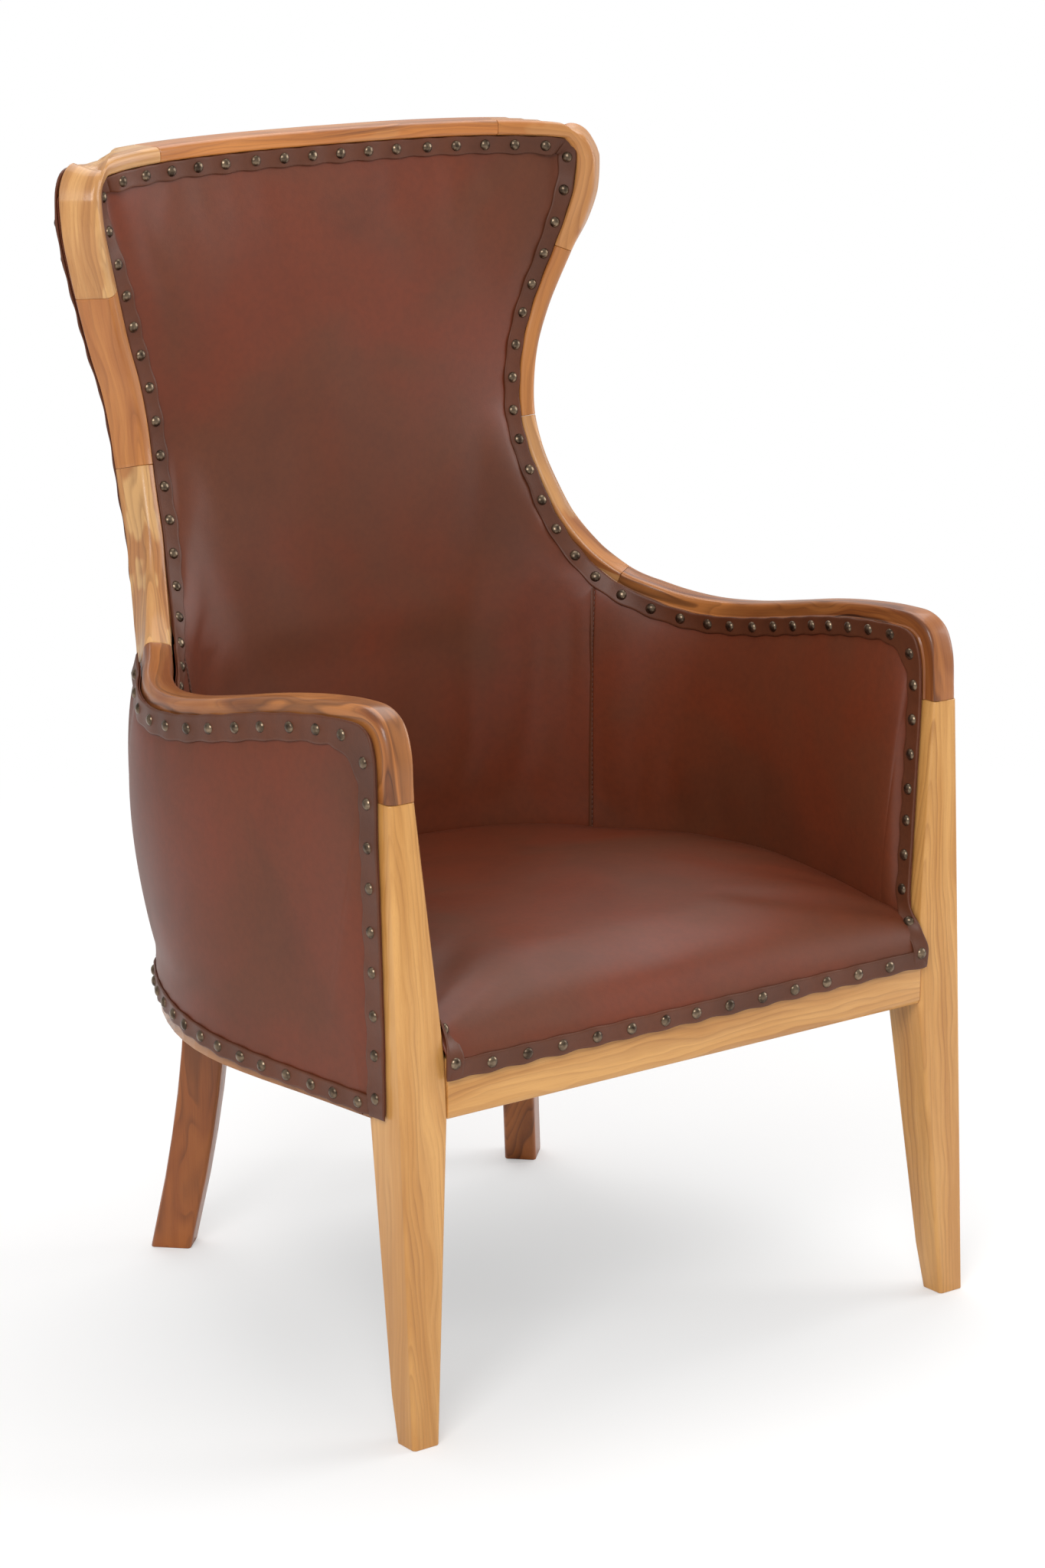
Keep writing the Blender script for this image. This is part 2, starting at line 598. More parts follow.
edge_teak = teak("edge_teak", (0.44, 0.19, 0.060), (0.30, 0.115, 0.034), (0.12, 0.042, 0.014),
                 1.0, 0.5, 0.5, 0.0, "y")
repainted(edge_teak, "side_seat_rail_right", "side_seat_rail_left", "back_seat_rail")


# Hidden frame: uprights, tack rails and corner blocks of sawn hardwood. They are glued and
# screwed between the seat frame and the show rail, under the leather.
sawn_wood = teak("sawn_wood", (0.58, 0.42, 0.24), (0.48, 0.33, 0.18), (0.30, 0.19, 0.09),
                 0.5, 0.4, 0.3, 0.0, "z")
repainted(sawn_wood, "lower_back_rail", *(f"{name}_{label}" for _, label in HANDS for name in (
    "back_upright", "arm_tack_rail", "front_corner_block", "rear_corner_block")))


# Dust cover: black non-woven cloth that closes the chair from below. It is tacked to the
# underside of the seat frame.
def woven(name, colour, dark, pitch):
    """A plain-weave cloth."""
    material, tree, shader = new_material(name)
    place = add(tree, "TexCoord").outputs["Object"]
    weave = add(tree, "TexChecker", {
        "Vector": place, "Scale": 1 / pitch, "Color1": (*colour, 1), "Color2": (*dark, 1)}).outputs
    fuzz = add(tree, "TexNoise", {"Vector": place, "Scale": 60, "Detail": 4}).outputs["Color"]
    shade = tint(tree, 0.4, weave["Color"], fuzz, blend_type="MULTIPLY")
    bump = add(tree, "Bump", {"Strength": 0.4, "Distance": 0.0005, "Height": weave["Fac"]})
    feed(tree, shader, {"Base Color": shade, "Normal": bump.outputs["Normal"], "Roughness": 0.95})
    return material


repainted(woven("black_cloth", (0.020, 0.020, 0.020), (0.012, 0.012, 0.012), 0.0015), "dust_cover")


# Webbing: woven jute straps under the foam. They are stretched over the seat frame and tacked to
# the top of its rails.
repainted(woven("jute", (0.42, 0.33, 0.20), (0.25, 0.19, 0.11), 0.003), "seat_webbing")


# Inside arm covers: aniline-dyed hide, oxblood over brown, a little cloudy and waxed, over the
# arm's padding. They are tacked into the rail's rebate and down the post, and sewn to the back.
STRIP_WIDTH = 17
COVER_LOW = 351.6
HIDE_THICKNESS = 1.8


def hide_group():
    """Cloudy colour, roughness and pebble height of a waxed hide."""
    tree, given, result = surface_group("waxed_hide", (), ("Red", "Brown", "Dark"))
    vector = given["Vector"]

    def cloud(scale, low, high, warp=0.0):
        return step(tree, noise_at(tree, vector, 3, 0.55, scale, warp), low, high)

    def times(value, factor, extra=0.0):
        return maths(tree, "MULTIPLY_ADD", value, factor, extra)

    broad = cloud(6.5, 0.30, 0.72, 0.5)
    patch = times(cloud(9, 0.42, 0.85, 0.6), 0.38)
    fine = times(cloud(160, 0.3, 0.75), 0.20)
    colour = tint(tree, broad, given["Red"], given["Brown"])
    colour = tint(tree, patch, colour, given["Dark"])
    pebble = add(tree, "TexVoronoi", {"Vector": vector, "Scale": 950}).outputs["Distance"]
    feed(tree, result, {
        "Color": tint(tree, fine, colour, given["Dark"]),
        "Roughness": times(broad, 0.08, 0.43),
        "Height": maths(tree, "ADD", times(pebble, 0.6), times(cloud(420, 0.2, 0.8), 0.6))})
    return tree


waxed_hide = hide_group()


def hide(name, red, brown, dark, relief):
    """A leather in its three dye tones."""
    material, tree, shader = new_material(name)
    inputs = {"Vector": add(tree, "TexCoord").outputs["Object"],
              "Red": (*red, 1), "Brown": (*brown, 1), "Dark": (*dark, 1)}
    gloss = {"Specular IOR Level": 0.33}
    return surfaced(material, tree, shader, waxed_hide, inputs, relief, gloss)


def inner_bed(s):
    """Where the inner strip lies at a station: its start, its way across, its face, its width."""
    point, along, out, face, width, wing = rail_frame(s)
    i = min(int(s), LAST_STATION - 1)
    twist = mix(stations[i][2], stations[i + 1][2], s - i)
    turn = math.radians(mix((85 + twist) * wing, 90, eased((point.z / CHAIR_HEIGHT - 0.86) / 0.11)))
    a = mix(-4.6, -0.7, wing) - 10 * wing * (1 - wing)
    b = mix(-14.3 + 10 * eased((400 - point.z) / 48), -2.9, wing)
    across = -out * math.sin(turn) - face * math.cos(turn)
    normal = -out * math.cos(turn) + face * math.sin(turn)
    return point + out * a + face * b, across, normal, STRIP_WIDTH


def rounded(bed, *bends):
    """The bed with its far edge taken round each tight bend in one smooth turn."""
    def at(s):
        start, across, normal, wide = bed(s)
        for low, high in bends:
            if low < s < high:
                (a, b) = (bed(end)[0] + bed(end)[1] * wide for end in (low, high))
                corner, w = Vector((a.x, a.y, b.z)), (s - low) / (high - low)
                reach = a.lerp(corner, w).lerp(corner.lerp(b, w), w) - start
                return start, reach.normalized(), normal, reach.length
        return start, across, normal, wide
    return at


def on_bed(bed, s, along):
    """A place just under a bed's face, a distance in from where the strip starts."""
    start, across, normal, _ = bed(s)
    return start + across * along + normal * -0.6


inner_bed = rounded(inner_bed, (4.5, 9.3), (30.0, 33.0))
seat_station = height_station(COVER_LOW + STRIP_WIDTH / 4, 0)
seam_station = height_station(643)
well_plan = [Vector((x * HALF_WIDTH, y * BACK_REACH, 0)) for x, y in (
    (0.832, 0.096), (0.834, 0.140), (0.864, 0.245), (0.890, 0.400), (0.900, 0.520), (0.890, 0.640),
    (0.846, 0.750), (0.745, 0.840), (0.600, 0.895), (0.420, 0.925), (0.220, 0.938), (0.000, 0.941))]
knuckle_point = rail_frame(knuckle)[0]
foot_point = rail_frame(0)[0]


def plan_point(plan, t, outward, z):
    """A place on a plan curve, moved outward and set at a height."""
    p = smooth_curve(plan, t)
    run = curve_direction(plan, t) if t < 1 else Vector((-1, 0, 0))
    return Vector((p.x + run.y * outward, p.y - run.x * outward, z))


def fan_share(s, seam, seam_share):
    """Where on the lower plan curve a place on the rail aims its leather."""
    post_share = 0.07
    point = rail_frame(s)[0]
    if s < knuckle:
        climbed = (point.z - foot_point.z) / (knuckle_point.z - foot_point.z)
        return mix(0.014, post_share, climbed)
    run = (point.y - knuckle_point.y) / (rail_frame(seam)[0].y - knuckle_point.y)
    return mix(post_share, seam_share, run)


def hem_rise(t):
    """How far the outside hem climbs from the post to the back."""
    return 13 * eased(t / 0.66)


def arm_grid(bed, start, seam, plan, seam_share, outward, low, crown, hem=None):
    """Rows of points along the rail; each row runs from the strip down to the lower edge."""
    grid = []
    for i in range(73):
        s = mix(start, seam, i / 72)
        wide = bed(s)[3]
        first, second = on_bed(bed, s, 0), on_bed(bed, s, wide)
        t = fan_share(s, seam, seam_share)
        target = plan_point(plan, t, outward, min(low, second.z - 1))
        away = plan_point(plan, t, outward + 1, target.z) - target
        height = min(1, max(0, second.z - low) / (ARM_HEIGHT - low) * 1.5)
        row = [first, on_bed(bed, s, wide / 2), second]
        for k in range(1, 25):
            v = (k / 24) ** 1.25
            if hem is None:
                roll = 1 - math.exp(-v * 14)
                swell = 0.75 * math.sin(math.pi * min(1, v / 0.8))
                bulge = crown * (0.55 * roll * (1 - v) ** 0.5 + swell)
            else:
                full = crown * (0.4 + 1.3 * eased((t - 0.15) / 0.35))
                bulge = full * math.sin(math.pi * v ** 0.85) ** 0.8
            row.append(second.lerp(target, v) + away * bulge * height)
        if hem is not None:
            edge = min(hem + hem_rise(t), target.z - 1)
            row += [Vector((target.x, target.y, mix(target.z, edge, k / 4))) for k in range(1, 5)]
        grid.append(row)
    return grid


def settle(piece, rows, columns, pressure):
    """Lets the hide swell over its stuffing as cloth, held all round where it is fixed."""
    held_rows, last_frame, most = 4, 20, 0.004
    tacked = piece.vertex_groups.new(name="tacked")
    for i in range(rows):
        for j in range(columns):
            if min(i, rows - 1 - i, j, columns - 1 - j) < held_rows:
                tacked.add([i * columns + j], 1, "REPLACE")
    cloth = piece.modifiers.new("stuffing", "CLOTH")
    cloth.settings.quality = 6
    cloth.settings.mass = 0.3
    cloth.settings.tension_stiffness = cloth.settings.compression_stiffness = 14
    cloth.settings.shear_stiffness = 7
    cloth.settings.bending_stiffness = 0.5
    cloth.settings.vertex_group_mass = "tacked"
    cloth.settings.use_pressure = True
    cloth.settings.uniform_pressure_force = pressure
    cloth.settings.effector_weights.gravity = 0
    cloth.point_cache.frame_end = last_frame
    for frame_number in range(1, last_frame + 1):
        bpy.context.scene.frame_set(frame_number)
    swollen = piece.evaluated_get(bpy.context.evaluated_depsgraph_get()).data.vertices
    shifts = [after.co - before.co for before, after in zip(piece.data.vertices, swollen)]
    for corner, shift in zip(piece.data.vertices, shifts):
        if shift.length > 0:
            corner.co += shift * (most * math.tanh(shift.length / most) / shift.length)
    piece.modifiers.remove(cloth)
    bpy.context.scene.frame_set(1)


def cover_piece(name, grid, facing, pressure=0.0):
    """A leather cover from a grid of points: a smooth skin with a folded edge."""
    rows, columns = len(grid), len(grid[0])
    corners = [i * columns + j for i in range(rows - 1) for j in range(columns - 1)]
    faces = [(a, a + 1, a + columns + 1, a + columns) for a in corners]
    i, j = rows // 2, columns // 2
    normal = (grid[i + 1][j] - grid[i][j]).cross(grid[i][j + 1] - grid[i][j])
    if normal.dot(Vector(facing)) > 0:
        faces = [tuple(reversed(f)) for f in faces]
    mesh = bpy.data.meshes.new(name)
    mesh.from_pydata([to_room(p) for row in grid for p in row], [], faces)
    mesh.shade_smooth()
    piece = new_piece(name, mesh)
    if pressure:
        settle(piece, rows, columns, pressure)
    wall = piece.modifiers.new("wall", "SOLIDIFY")
    wall.thickness = HIDE_THICKNESS / 1000
    wall.offset = -1
    bpy.ops.object.modifier_apply(modifier="wall")
    finer = piece.modifiers.new("finer", "SUBSURF")
    finer.levels = finer.render_levels = 1
    bpy.ops.object.modifier_apply(modifier="finer")
    bpy.ops.object.select_all(action="DESELECT")
    return piece


cover_leather = hide("cover_leather", (0.162, 0.032, 0.0112), (0.124, 0.034, 0.0130),
                     (0.066, 0.019, 0.0090), 0.10)
SEAM_SHARE = 0.636
inner_arm = arm_grid(inner_bed, seat_station, seam_station, well_plan, SEAM_SHARE,
                     outward=0, low=COVER_LOW, crown=-7)
for i, row in enumerate(inner_arm):
    along = math.sin(math.pi * i / (len(inner_arm) - 1))
    for k, p in enumerate(row[3:-1]):
        rim = along * math.sin(math.pi * (k + 1) / (len(row) - 3))
        p.x += 1.6 * rim * noise.noise(Vector((p.y / 80, p.z / 80, 2.2)))
for hand, label in HANDS:
    grid = inner_arm if hand > 0 else [mirrored(row) for row in inner_arm]
    cover = cover_piece(f"inside_arm_{label}", grid, (-hand, 0, 0), 1.6)
    finished(cover, cover_leather, "leather", f"inner_arm_cover_{label}", f"arm_pad_{label}")


# Outside arm panels: one hide each, tacked in the arm's rebate, down the post and along the wing,
# and stretched down over the side seat rail, where the hem strip holds it.
PANEL_OUT = 3.2
PANEL_LOW = 355
PANEL_SHARE = 0.66


def outer_bed(s):
    """Where the outer strip lies at a station."""
    point, along, out, face, width, wing = rail_frame(s)
    post = 1 - s / knuckle if s < knuckle else 0
    margin = mix(14, 30, wing) + post * 6
    return point + out * (width + PANEL_OUT) - face * margin, -face, out, 24


outer_bed = rounded(outer_bed, (4.4, 9.6))
rail_plan = [Vector((x * HALF_WIDTH, y * BACK_REACH, 0)) for x, y in (
    (1.000, 0.100), (1.028, 0.245), (1.058, 0.375), (1.070, 0.475), (1.055, 0.570), (1.005, 0.672),
    (0.912, 0.785), (0.790, 0.880), (0.615, 0.955), (0.360, 0.992), (0.000, 1.000))]
outer_arm = arm_grid(outer_bed, 0, elbow, rail_plan, PANEL_SHARE,
                     outward=PANEL_OUT, low=PANEL_LOW, crown=8, hem=297)
for hand, label in HANDS:
    grid = outer_arm if hand > 0 else [mirrored(row) for row in outer_arm]
    cover = cover_piece(f"outside_arm_{label}", grid, (hand, 0, 0))
    finished(cover, cover_leather, "leather", f"outer_arm_panel_{label}")


# Inside back: one hide over the back padding, hollow across and full down each side. It is
# tacked under the strips along the wings and the top, and sewn to the inside arms.
WELL_BACK = 0.941
corner_station = height_station(CHAIR_HEIGHT * 0.98 - STRIP_WIDTH)


def top_band(bed, x, along):
    """A place on the bed behind the top rail at a width, with its distance into the strip."""
    p = on_bed(bed, LAST_STATION if abs(x) < 1 else width_station(abs(x)), along)
    return Vector((x, p.y, p.z))


def crowded(count, weight):
    """Shares from -1 to 1 that lie closer together towards both ends."""
    shares = []
    for k in range(count + 1):
        turn = mix(-math.pi / 2, math.pi / 2, k / count)
        shares.append(math.sin(turn) * weight + (1 - weight) * mix(-1, 1, k / count))
    return shares


def back_grid(bed, start, column, plan, seam_share, centre, power, crown,
              outward, low, bulge, corner_share):
    """Rows across a back, from the lower edge, where the arm's last column ends, to the top."""
    shares = crowded(44, 0.35)
    corner_x = on_bed(bed, corner_station, STRIP_WIDTH).x
    band = [top_band(bed, -share * corner_x, STRIP_WIDTH) for share in shares]
    upper = []
    for i in range(45):
        s = mix(start, corner_station, i / 44)
        edge, second = on_bed(bed, s, 0), on_bed(bed, s, STRIP_WIDTH)
        swell = crown * math.cos(math.pi * i / 44 / 2)
        near_top = eased((second.z - 960) / 90)
        half = (edge + second) / 2
        row = [edge, half]
        for share, place in zip(shares, band):
            y = mix(centre(second.z), second.y, abs(share) ** power) + swell * (1 - share * share)
            top_share = near_top * (1 - abs(share) ** 12)
            row.append(Vector((-share * second.x, mix(y, place.y, top_share),
                               mix(second.z, place.z, top_share * near_top))))
        upper.append(row + [mirror(half), mirror(edge)])
    first = upper[0]
    last = len(first) - 1
    lower = []
    for point in reversed(column[:-1]):
        if point.z > first[0].z - 8:
            continue
        share = max(0, point.z - low) / (first[0].z - low)
        ease = mix(share, share * share, 0.4)
        row = []
        for k, p in enumerate(first):
            across = k / last * 2 - 1
            foot = plan_point(plan, mix(1, seam_share, abs(across)), outward, low)
            row.append(Vector((mix(-foot.x if across > 0 else foot.x, p.x, share),
                               mix(foot.y, p.y, ease) + bulge * math.sin(math.pi * min(1, share)),
                               mix(min(low, point.z), p.z, share))))
        fuller = point + Vector((-0.5, 0.5, 0)) - row[0]
        for k in range(last + 1):
            across = 1 - 2 * k / last
            row[k] += Vector((fuller.x * (1 if across > 0 else -1), fuller.y, 0)) * abs(across) ** 4
        row[0].z = row[-1].z = point.z
        lower.append(row)
    top = upper[-1]
    corner = on_bed(bed, MITRE, STRIP_WIDTH * corner_share)
    inward = min(1, (abs(corner.x) - 2) / abs(top[2].x))
    tops = [top_band(bed, p.x * inward, 5 * corner_share) for p in top[2:-2]]
    far = mirror(corner)
    top_row = [corner, (corner + tops[0]) / 2, *tops, (far + tops[-1]) / 2, far]
    middle = [(a + b) / 2 for a, b in zip(top, top_row)]
    return lower + upper + [middle, top_row]


def ironed(grid):
    """The grid with the bend between its lower and upper rows smoothed out."""
    rows = [i for i in range(1, len(grid) - 1) if 480 < grid[i][len(grid[i]) // 2].z < 800]
    for _ in range(60):
        for k in range(3, len(grid[0]) - 3):
            before = [row[k].copy() for row in grid]
            for i in rows:
                a, b, c = before[i - 1], before[i], before[i + 1]
                w = min(1, max(0, (b.z - a.z) / max(c.z - a.z, 1)))
                x, y = mix(a.x, c.x, w), mix(a.y, c.y, w)
                grid[i][k] = Vector((mix(b.x, x, 0.5), mix(b.y, y, 0.5), b.z))
    return grid


def inner_centre(z):
    """The depth of the padded back's middle line at a height."""
    climbed = max(0, (z - COVER_LOW) / (CHAIR_HEIGHT - COVER_LOW))
    return mix(WELL_BACK, 1.037, climbed ** 0.8) * BACK_REACH


inner_back = ironed(back_grid(
    inner_bed, seam_station + 0.35, inner_arm[-1], well_plan, SEAM_SHARE, inner_centre,
    power=3, crown=-9, outward=0, low=COVER_LOW, bulge=0, corner_share=0.4))
for row in inner_back:
    for k in range(3, len(row) - 3):
        p = row[k]
        rim = 1 - math.exp(-min(abs(p.x - row[2].x), abs(p.x - row[-3].x)) / 16)
        padding = 5 + 1.8 * noise.noise(Vector((p.x / 75, p.z / 95, 4.4)))
        top, foot = eased((1052 - p.z) / 60), eased((p.z - 560) / 60)
        row[k] = p + Vector((0, -1, 0)) * padding * rim * top * foot
cover = cover_piece("inside_back", inner_back, (0, -1, 0), 1.0)
finished(cover, cover_leather, "leather", "inner_back_cover", "back_pad")


# Outside back: one plain hide over the back of the frame. It is tacked under the strips along
# the wings and the top, and under the hem strip to the back seat rail.
def back_bed(s):
    """Where the back strip lies at a station."""
    point, along, out, face, width, wing = rail_frame(s)
    start = point + out * (width - 4) - face * (RAIL_DEPTH + 3.8)
    spread = 0.8 * abs(start.x) + 0.6 * start.y
    fall = 11 * eased((spread - 530) / 24) * eased((start.z - 1034) / 36)
    return start - Vector((0, 0, fall)), -out, -face, STRIP_WIDTH


back_bed = rounded(back_bed, (29.6, 33.4))


def outer_centre(z):
    """The depth of the outside back's middle line at a height."""
    climbed = eased((z - SEAT_RAIL_TOP) / (ARM_HEIGHT - SEAT_RAIL_TOP))
    return mix(1, 1.105, climbed) * BACK_REACH + PANEL_OUT


outer_back = ironed(back_grid(
    back_bed, elbow + 0.35, outer_arm[-1], rail_plan, PANEL_SHARE, outer_centre,
    power=2.4, crown=0, outward=PANEL_OUT, low=PANEL_LOW, bulge=8, corner_share=0.5))
cover = cover_piece("outside_back", outer_back, (0, 1, 0))
finished(cover, cover_leather, "leather", "outer_back_panel")


# Seat: one hide over webbing and foam, crowned on top, with a broad soft roll at the front. It is
# pulled down over the front rail, tacked there, and tucked in at the sides and the back.
SEAT_FRONT = RAKE * SEAT_RAIL_LOW - 2
SEAT_BACK = WELL_BACK * BACK_REACH - 5.2
ROLL_DEPTH = 108
ROLL_LOW = 350
ROLL_RISE = 51
POST_CLEAR = 1.4


def well_half(y):
    """Half the free width between the inside arms at a depth."""
    t = 0
    while t < 1 and smooth_curve(well_plan, t).y < y:
        t += 0.002
    return smooth_curve(well_plan, min(t, 1)).x


# Each row of the seat: its depth, its height and how far it is past the flat front apron.
seat_rows = [(SEAT_FRONT - ahead, z, 0) for ahead, z in (
    (0, 332), (0.2, 338), (0.4, 345), (0.6, ROLL_LOW))]
for k in range(1, 19):
    u = (k / 18) ** 1.9
    rise = (1 - (1 - u) ** 2.3) ** 0.60
    y = SEAT_FRONT - 0.8 * math.sin(math.pi * min(1, u * 3)) + ROLL_DEPTH * u
    seat_rows.append((y, ROLL_LOW + ROLL_RISE * rise, rise))
for k in range(1, 37):
    v = k / 36
    y = mix(SEAT_FRONT + ROLL_DEPTH, SEAT_BACK, v)
    crown = 3.5 * math.sin(math.pi * min(1, v * 1.3))
    seat_rows.append((y, ROLL_LOW + ROLL_RISE + crown - 18 * eased((v - 0.2) / 0.8), 1))
back_height = seat_rows[-1][1]
seat_rows += [(SEAT_BACK + 1.5, back_height - drop, 1) for drop in (4, 11, 20)]
seat_grid = []
for y, z, full in seat_rows:
    reach = well_half(max(y, 56)) - POST_CLEAR
    reach = mix(min(270.3, reach), reach, eased((y - 58) / 22) if y > 68 else 0)
    reach += 8.6 if full == 0 else 7.8 * (1 - eased((y - 34) / 40))
    edge_fall = 9 - 5 * (1 - eased((y - 36) / 60))
    row = []
    for share in crowded(56, 0.45):
        side = abs(share)
        fall = full * (6 * side ** 4 + edge_fall * max(0, (side - 0.86) / 0.14) ** 2.4)
        soft = 0.9 * noise.noise(Vector((share * 5, y / 70, 3.1))) * full
        row.append(Vector((share * reach, y, z - fall + soft)))
    if full > 0:
        x, top = row[0].x, row[0].z
        tuck = [Vector((x - 1.0, y, top - 14 * full)), Vector((x - 0.4, y, top - 6 * full))]
        seat_grid.append(tuck + row + mirrored(reversed(tuck)))
    else:
        near = [row[0] + Vector((-shift, 0, 0)) for shift in (0.3, 0.15)]
        far = [row[-1] + Vector((shift, 0, 0)) for shift in (0.15, 0.3)]
        seat_grid.append(near + row + far)
seat = cover_piece("seat", seat_grid, (0, 0, 1), 1.0)
finished(seat, cover_leather, "leather", "seat_cover", "seat_foam")


# Leather strips: folded hide laid over every tacked edge. Each is held by its dome nails, pressed
# flat under them, and puckers a little between them.
strip_leather = hide("strip_leather", (0.122, 0.034, 0.0130), (0.092, 0.029, 0.0125),
                     (0.050, 0.016, 0.0080), 0.16)


def evenly(samples, pitch=3.0):
    """Samples (start, end, normal) spaced evenly along their middle line, with their runs."""
    runs = [0.0]
    for a, b in zip(samples, samples[1:]):
        runs.append(runs[-1] + ((a[0] + a[1]) / 2 - (b[0] + b[1]) / 2).length)
    count = max(2, round(runs[-1] / pitch))
    spaced, i = [], 0
    for k in range(count + 1):
        run = runs[-1] * k / count
        while i < len(samples) - 2 and runs[i + 1] < run:
            i += 1
        w = (run - runs[i]) / max(runs[i + 1] - runs[i], 1e-6)
        start, end, normal = (a.lerp(b, w) for a, b in zip(samples[i], samples[i + 1]))
        spaced.append((start, end, normal.normalized(), run))
    return spaced


nail_places = {}


def strip_piece(name, samples, nails, seed, node=None, hand=1, inset=0):
    """A strip of folded leather; its nails are spaced evenly between its insets."""
    samples = evenly(samples)
    total = samples[-1][3]
    pitch = (total - 2 * inset) / nails
    rings, coords, places = [], [], []
    for start, end, normal, run in samples:
        across, wide = (end - start).normalized(), (end - start).length
        loose = 0.5 + 0.5 * math.cos(2 * math.pi * (((run - inset) / pitch) % 1 - 0.5))
        wander = [noise.noise(Vector((run / 22, seed * 3.1, k * 5.7))) for k in range(3)]
        near = -0.1 - 0.7 * loose - 0.4 * wander[0]
        far = wide - 0.3 + 1.3 * loose + 0.6 * wander[1]
        thick = 1.5 + 0.8 * loose + 0.3 * wander[2]
        thick *= min(1, min(run, total - run) / 2.5 + 0.35)
        edge = ((0.5, -0.35), (0, 0.25), (0.15, thick * 0.72), (0.9, thick * 1.02),
                (2.4, thick * 0.97))
        profile = [(near + a, h) for a, h in edge] + [(wide * 0.5, thick * 0.86)]
        profile += [(far - a, h) for a, h in reversed(edge)] + [(wide * 0.5, -0.35)]
        ring = [start + across * a + normal * h for a, h in profile]
        rings.append(ring if hand > 0 else mirrored(ring))
        coords.append([(run / 1000, a / 1000, h / 1000) for a, h in profile])
    for k in range(nails):
        run = inset + (k + 0.5) * pitch
        start, end, normal, _ = min(samples, key=lambda sample: abs(sample[3] - run))
        place = (start + end) / 2 + normal * 1.5
        places.append((place, normal) if hand > 0 else (mirror(place), mirror(normal)))
    nail_places[name.replace("side_", "").replace("_strip", "")] = places
    strip = swept_piece(name, rings, coords)
    finished(strip, strip_leather, "gimp_leather", *([node] if node else []))


def bed_samples(bed, start, end):
    """Fine samples of a bed between two stations."""
    steps = max(10, round((end - start) * 25))
    beds = [bed(mix(start, end, i / steps)) for i in range(steps + 1)]
    return [(first, first + across * wide, normal) for first, across, normal, wide in beds]


def turned_forward(bed):
    """The inner bed with its foot turned from the post's side onto the front of the seat rail."""
    def at(s):
        start, across, normal, wide = bed(s)
        w = eased((392 - start.z) / 44)
        if w <= 0:
            return start, across, normal, wide
        foot = Vector((280.2, 12.4, start.z))
        return (start.lerp(foot, w), across.lerp(Vector((-1, 0, 0)), w).normalized(),
                normal.lerp(Vector((0, -1, 0)), w).normalized(), wide)
    return at


def whole(samples):
    """Samples that stop at the chair's middle, carried on over its other side."""
    return samples + [tuple(mirrored(sample)) for sample in reversed(samples[:-1])]


def hem_samples(start, end):
    """Samples of the hem along the seat rail's plan, between two shares of the curve."""
    samples = []
    for k in range(41):
        t = mix(start, end, k / 40)
        low, high = (plan_point(rail_plan, t, 3.6, z + hem_rise(t)) for z in (299, 316))
        samples.append((high, low, (plan_point(rail_plan, t, 4.6, high.z) - high).normalized()))
    return samples


strip_foot = height_station(332, 0)
for hand, label in HANDS:
    for name, samples, nails, seed in (
            ("inner", bed_samples(turned_forward(inner_bed), strip_foot, MITRE), 38, 1.3),
            ("outer", bed_samples(outer_bed, 0, elbow + 0.3), 21, 2.7),
            ("back", bed_samples(back_bed, elbow - 0.2, MITRE), 15, 4.1)):
        node = f"{name}_gimp_{label}"
        strip_piece(f"{name}_strip_{label}", samples, nails, seed * hand, node, hand)
strip_piece("top_strip", whole(bed_samples(inner_bed, MITRE, LAST_STATION)), 16, 5.9, "top_gimp")
strip_piece("back_top_strip", whole(bed_samples(back_bed, MITRE, LAST_STATION)), 16, 6.4)
front_y = SEAT_FRONT - 0.6
strip_piece("front_strip", [
    (Vector((x, front_y, 348.6)), Vector((x, front_y, 331.6)), Vector((0, -1, 0)))
    for x in (-280, -100, 100, 280)], 13, 7.7, "front_gimp", inset=27)
for hand, label in HANDS:
    node = f"side_hem_gimp_{label}"
    strip_piece(f"side_hem_strip_{label}", hem_samples(0.0, 0.655), 14, 8.3 * hand, node, hand)
strip_piece("back_hem_strip", whole(hem_samples(0.668, 1)), 15, 9.1, "back_hem_gimp")


# Dome nails: spun brass heads, blackened and rubbed back. They are driven by hand, a little
# askew, through the middle of each strip into the wood.
NAIL_RADIUS = 5.6
NAIL_HEIGHT = 3.8
antique_brass, tree, shader = new_material("antique_brass")


def two_tones(tree, value, *tones):
    """A ramp through two tones, each a position and a colour."""
    ramp = add(tree, "ValToRGB", {"Fac": value})
    for element, (position, colour) in zip(ramp.color_ramp.elements, tones):
        element.position = position
        element.color = (*colour, 1)
    return ramp.outputs["Color"]


place = add(tree, "TexCoord").outputs["Object"]
tarnish = add(tree, "TexNoise", {"Vector": place, "Scale": 160, "Detail": 2}).outputs["Fac"]
worn = add(tree, "MapRange", {"Value": tarnish, "To Min": 0.36, "To Max": 0.24}).outputs["Result"]
brass_tones = two_tones(
    tree, tarnish, (0.35, (0.060, 0.040, 0.027)), (0.72, (0.26, 0.19, 0.125)))
feed(tree, shader, {"Base Color": brass_tones, "Roughness": worn, "Metallic": 0.9})

bpy.ops.mesh.primitive_uv_sphere_add(segments=14, ring_count=10, radius=1)
head = bpy.context.object
bpy.ops.object.mode_set(mode="EDIT")
bpy.ops.mesh.select_all(action="SELECT")
bpy.ops.mesh.bisect(plane_co=(0, 0, 0), plane_no=(0, 0, 1), use_fill=True, clear_inner=True)
bpy.ops.object.mode_set(mode="OBJECT")
head_points = [v.co.copy() for v in head.data.vertices]
head_faces = [tuple(f.vertices) for f in head.data.polygons]
bpy.data.objects.remove(head)
bpy.ops.object.select_all(action="DESELECT")

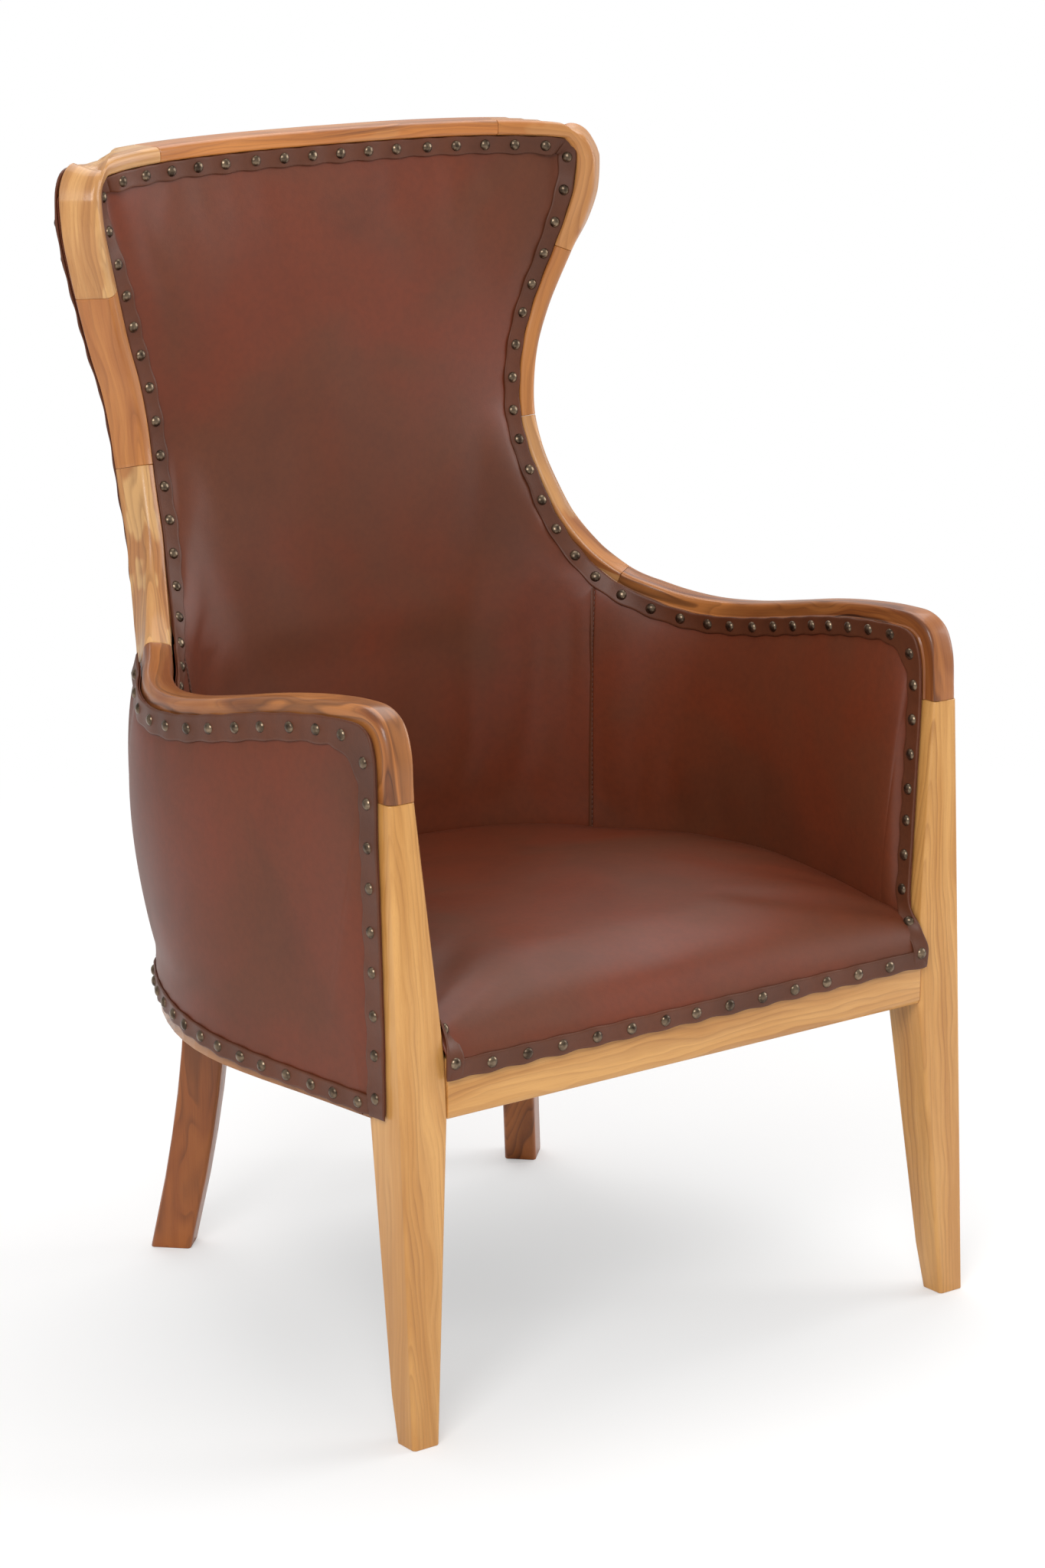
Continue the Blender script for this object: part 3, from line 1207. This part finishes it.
draw = random.Random(41)
for key, places in nail_places.items():
    points, faces = [], []
    for place, way in places:
        turn = way.to_track_quat("Z", "Y").to_matrix()
        lean_x, lean_y = draw.uniform(-0.25, 0.25), draw.uniform(-0.25, 0.25)
        base = len(points)
        for co in head_points:
            askew = co.x * lean_x + co.y * lean_y
            height = co.z * NAIL_HEIGHT - 0.3 + askew
            points.append(place + turn @ Vector((co.x * NAIL_RADIUS, co.y * NAIL_RADIUS, height)))
        faces += [tuple(base + v for v in f) for f in head_faces]
    finished(mesh_piece(f"nails_{key}", points, faces), antique_brass)


# Seam welts: a fold of hide that stands up where the inside arm is sewn to the inside back. It
# runs up the corner from the seat to the arm's rebate.
seam_line = []
for row in inner_back:
    if row[0].z > inner_arm[-1][0].z - 4:
        break
    if seam_line and row[0].z - seam_line[-1][0].z < 3:
        continue
    near = min(inner_arm[-3], key=lambda p: abs(p.z - row[0].z))
    back_way, arm_way = (row[4] - row[0]).normalized(), (near - row[0]).normalized()
    proud = (back_way + arm_way).normalized()
    seam_line.append((row[0], (arm_way - proud * arm_way.dot(proud)).normalized(), proud))
welt_rings = []
for point, side, proud in seam_line:
    across = Vector((0, 0, 1)).cross(proud).normalized()
    angles = [m * math.pi / 4 for m in range(8)]
    ring = [across * math.cos(angle) * 2.0 + proud * math.sin(angle) * 1.7 for angle in angles]
    welt_rings.append([point + proud * 0.5 + offset for offset in ring])
for hand, label in HANDS:
    rings = welt_rings if hand > 0 else [mirrored(ring) for ring in welt_rings]
    coords = [[(p.z / 1000, m / 1000, 0) for m, p in enumerate(ring)] for ring in rings]
    finished(swept_piece(f"seam_welt_{label}", rings, coords), strip_leather)


# Stitches: waxed brown thread, top-stitched through the fold beside the welt, along the edge of
# the inside arm's hide.
STITCH_PITCH = 5.2
STITCH_LENGTH = 3.9
thread, tree, shader = new_material("thread")
place = add(tree, "TexCoord").outputs["Object"]
strands = add(tree, "TexWave", {"Vector": place, "Scale": 900}).outputs["Fac"]
thread_tones = two_tones(tree, strands, (0, (0.090, 0.032, 0.020)), (1, (0.170, 0.070, 0.045)))
feed(tree, shader, {"Base Color": thread_tones, "Roughness": 0.6})

path = [point + side * 1.7 + proud * 1.5 for point, side, proud in seam_line]
runs = [0.0]
for a, b in zip(path, path[1:]):
    runs.append(runs[-1] + (b - a).length)


def path_place(run):
    """The place on the seam's path at a run, and the way towards the arm there."""
    i = max(j for j in range(len(runs) - 1) if runs[j] <= run)
    w = (run - runs[i]) / (runs[i + 1] - runs[i])
    return path[i].lerp(path[i + 1], min(w, 1)), seam_line[i][1]


points, faces = [], []
for k in range(int(runs[-1] / STITCH_PITCH)):
    (a, side), (b, _) = path_place(k * STITCH_PITCH), path_place(k * STITCH_PITCH + STITCH_LENGTH)
    up = side.cross((b - a).normalized()).normalized()
    if up.y > 0:
        up = -up
    base = len(points)
    for share, size in ((0, 0.18), (0.2, 0.5), (0.8, 0.5), (1, 0.18)):
        for angle in (m * math.pi / 3 for m in range(6)):
            around = side * math.cos(angle) + up * math.sin(angle)
            points.append(a.lerp(b, share) + around * size + up * 0.45)
    for low in (base, base + 6, base + 12):
        for m in range(6):
            n = (m + 1) % 6
            faces.append((low + m, low + n, low + 6 + n, low + 6 + m))
    faces += [tuple(range(base + 5, base - 1, -1)), tuple(range(base + 18, base + 24))]
for hand, label in HANDS:
    stitches = mesh_piece(f"stitches_{label}", points if hand > 0 else mirrored(points), faces)
    finished(stitches, thread)
